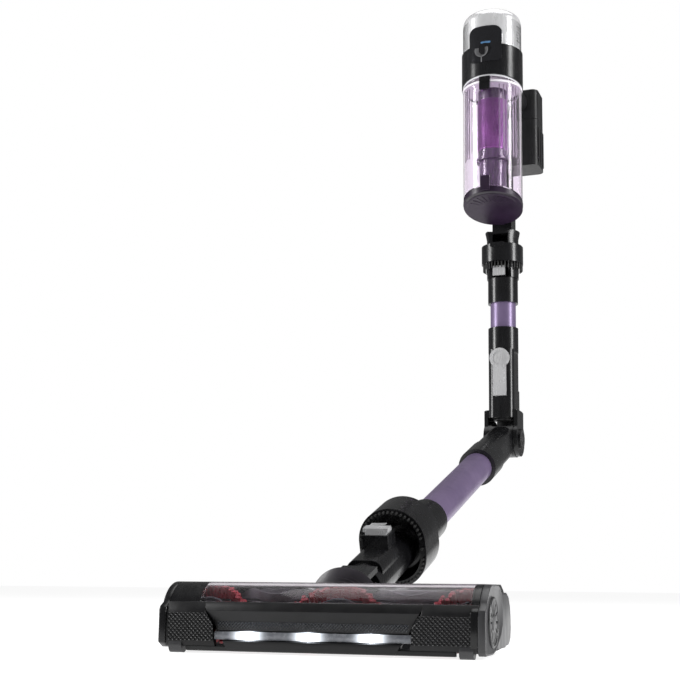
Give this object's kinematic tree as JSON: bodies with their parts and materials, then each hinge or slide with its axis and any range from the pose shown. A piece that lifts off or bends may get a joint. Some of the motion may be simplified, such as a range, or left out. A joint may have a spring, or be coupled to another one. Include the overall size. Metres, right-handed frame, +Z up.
{
  "type": "cordless stick vacuum",
  "caption": "Cordless stick vacuum with a handheld unit, clear dust bin, rear battery, folding wand and a wide motorised roller floor head.",
  "frame": {"origin": "on the floor under the centre of the whole cleaner's outline", "axes": "+Z up, -Y is the floor head's front, +X to the right seen from the front"},
  "size_m": [0.2662, 0.7866, 0.8072],
  "materials": {
    "black_gloss": "gloss",
    "black_satin": "satin",
    "silver": "polished",
    "purple_tube": "satin metallic",
    "clear_bin": "clear",
    "smoke_window": "smoked clear",
    "display": "gloss",
    "core_purple": "gloss",
    "mesh": "fine mesh",
    "flap_purple": "gloss",
    "rubber": "matt",
    "grey_plastic": "satin",
    "steel": "turned",
    "board": "matt",
    "filter": "felt",
    "cells": "sleeve",
    "bristle_black": "bristle",
    "bristle_red": "bristle",
    "soft_grey": "soft strip",
    "seal_grey": "matt",
    "lamp": "clear",
    "aluminium": "satin"
  },
  "bodies": {
    "handheld": {"motor_housing": "black_gloss", "exhaust_cap": "silver", "display_panel": "display", "suction_motor": "aluminium", "control_board": "board", "exhaust_filter": "filter", "pre_filter": "filter", "handle_shell": "black_satin", "grip_pad": "rubber", "dust_bin": "clear_bin", "bin_seal": "seal_grey", "cyclone_core": "core_purple", "mesh_screen": "mesh", "inlet_tube": "black_gloss", "wand_collar": "black_gloss", "upper_tube": "purple_tube", "elbow_housing": "black_gloss", "elbow_covers": "black_gloss", "hinge_pins": "steel"},
    "impeller": {"impeller": "aluminium"},
    "mode_button": {"mode_button": "black_gloss"},
    "trigger": {"trigger": "grey_plastic"},
    "battery": {"battery_pack": "black_satin", "battery_cells": "cells"},
    "battery_latch": {"battery_latch": "grey_plastic"},
    "bin_flap": {"bin_flap": "flap_purple"},
    "flap_latch": {"flap_latch": "flap_purple"},
    "bin_latch": {"bin_latch": "black_gloss"},
    "brush_collar": {"brush_collar": "black_gloss", "collar_bristles": "bristle_black"},
    "wand_release": {"wand_release": "silver"},
    "elbow_button": {"elbow_button": "silver"},
    "lower_wand": {"elbow_knuckle": "black_gloss", "lower_tube": "purple_tube", "bottom_cuff": "black_gloss", "neck_socket": "black_gloss"},
    "brush_ring": {"brush_ring": "black_gloss", "ring_bristles": "bristle_black"},
    "head_release": {"head_release": "silver"},
    "neck_yoke": {"neck_yoke": "black_satin", "neck_hose": "rubber"},
    "floor_head": {"base_plate": "black_satin", "top_cover": "black_gloss", "trim_strip": "silver", "window": "smoke_window", "front_fascia": "black_satin", "corner_grips": "grey_plastic", "led_lenses": "lamp", "left_end_plate": "grey_plastic", "right_end_cap": "grey_plastic", "drive_motor": "steel", "drive_belt": "rubber", "screws": "steel"},
    "roller": {"roller_core": "black_satin", "bristle_strips": "bristle_red", "soft_strips": "soft_grey"},
    "roller_dial": {"roller_dial": "black_satin"},
    "motor_pulley": {"motor_pulley": "steel"},
    "rear_wheels": {"rear_wheels": "rubber"},
    "front_wheels": {"front_wheels": "grey_plastic"}
  },
  "joints": [
    {"name": "impeller_spin", "type": "hinge", "parent": "handheld", "child": "impeller", "pos_m": [0.03321, 0.22184, 0.72624], "axis": [0, 0, 1], "continuous": true},
    {"name": "mode_press", "type": "slide", "parent": "handheld", "child": "mode_button", "axis": [0.0741, 0.9973, 0], "range_m": [0, 0.0007], "stiffness_N_per_m": 200, "springref_m": -0.0003},
    {"name": "trigger_pull", "type": "hinge", "parent": "handheld", "child": "trigger", "pos_m": [0.04077, 0.32356, 0.72924], "axis": [0.9973, -0.0741, 0], "range_deg": [-6, 0], "stiffness_Nm_per_rad": 0.4, "springref_deg": 2.86},
    {"name": "battery_out", "type": "slide", "parent": "handheld", "child": "battery", "axis": [0, 0, -1], "range_m": [0, 0.08]},
    {"name": "battery_latch_press", "type": "slide", "parent": "battery", "child": "battery_latch", "axis": [-0.0741, -0.9973, 0], "range_m": [0, 0.0015], "stiffness_N_per_m": 300, "springref_m": -0.0003},
    {"name": "flap_open", "type": "hinge", "parent": "handheld", "child": "bin_flap", "pos_m": [0.03602, 0.25964, 0.54237], "axis": [0.9973, -0.0741, 0], "range_deg": [0, 42]},
    {"name": "flap_latch_press", "type": "slide", "parent": "handheld", "child": "flap_latch", "axis": [0, 0, 1], "range_m": [0, 0.002], "stiffness_N_per_m": 300, "springref_m": -0.0003},
    {"name": "bin_latch_press", "type": "slide", "parent": "handheld", "child": "bin_latch", "axis": [0, 0, -1], "range_m": [0, 0.003], "stiffness_N_per_m": 300, "springref_m": -0.0005},
    {"name": "collar_slide", "type": "slide", "parent": "handheld", "child": "brush_collar", "axis": [0, 0, 1], "range_m": [0, 0.01]},
    {"name": "wand_release_press", "type": "slide", "parent": "handheld", "child": "wand_release", "axis": [0.0741, 0.9973, 0], "range_m": [0, 0.002], "stiffness_N_per_m": 300, "springref_m": -0.0003},
    {"name": "elbow_button_press", "type": "slide", "parent": "handheld", "child": "elbow_button", "axis": [0.0741, 0.9973, 0], "range_m": [0, 0.0015], "stiffness_N_per_m": 400, "springref_m": -0.0004},
    {"name": "elbow_fold", "type": "hinge", "parent": "handheld", "child": "lower_wand", "pos_m": [0.03699, 0.2727, 0.24624], "axis": [0.9973, -0.0741, 0], "range_deg": [-20, 70]},
    {"name": "ring_slide", "type": "slide", "parent": "lower_wand", "child": "brush_ring", "axis": [0.0696, 0.9371, 0.342], "range_m": [0, 0.025]},
    {"name": "head_release_press", "type": "slide", "parent": "lower_wand", "child": "head_release", "axis": [0, 0.3429, -0.9394], "range_m": [0, 0.002], "stiffness_N_per_m": 400, "springref_m": -0.0004},
    {"name": "neck_swivel", "type": "hinge", "parent": "lower_wand", "child": "neck_yoke", "pos_m": [-0.005, -0.29237, 0.04], "axis": [0, -0.3429, 0.9394], "range_deg": [-34, 26]},
    {"name": "neck_pitch", "type": "hinge", "parent": "neck_yoke", "child": "floor_head", "pos_m": [-0.005, -0.29237, 0.04], "axis": [1, 0, 0], "range_deg": [-70, 14]},
    {"name": "roller_spin", "type": "hinge", "parent": "floor_head", "child": "roller", "pos_m": [0, -0.35837, 0.027], "axis": [1, 0, 0], "continuous": true},
    {"name": "pulley_spin", "type": "hinge", "parent": "floor_head", "child": "motor_pulley", "pos_m": [0, -0.30637, 0.031], "axis": [1, 0, 0], "continuous": true},
    {"name": "dial_turn", "type": "hinge", "parent": "floor_head", "child": "roller_dial", "pos_m": [0, -0.35837, 0.027], "axis": [1, 0, 0], "range_deg": [0, 45]},
    {"name": "rear_wheel_spin", "type": "hinge", "parent": "floor_head", "child": "rear_wheels", "pos_m": [0, -0.27837, 0.009], "axis": [1, 0, 0], "continuous": true},
    {"name": "front_wheel_spin", "type": "hinge", "parent": "floor_head", "child": "front_wheels", "pos_m": [0, -0.38617, 0.006], "axis": [1, 0, 0], "continuous": true}
  ],
  "couplings": [
    {"joint": "pulley_spin", "follows": "roller_spin", "ratio": 1.8571}
  ]
}
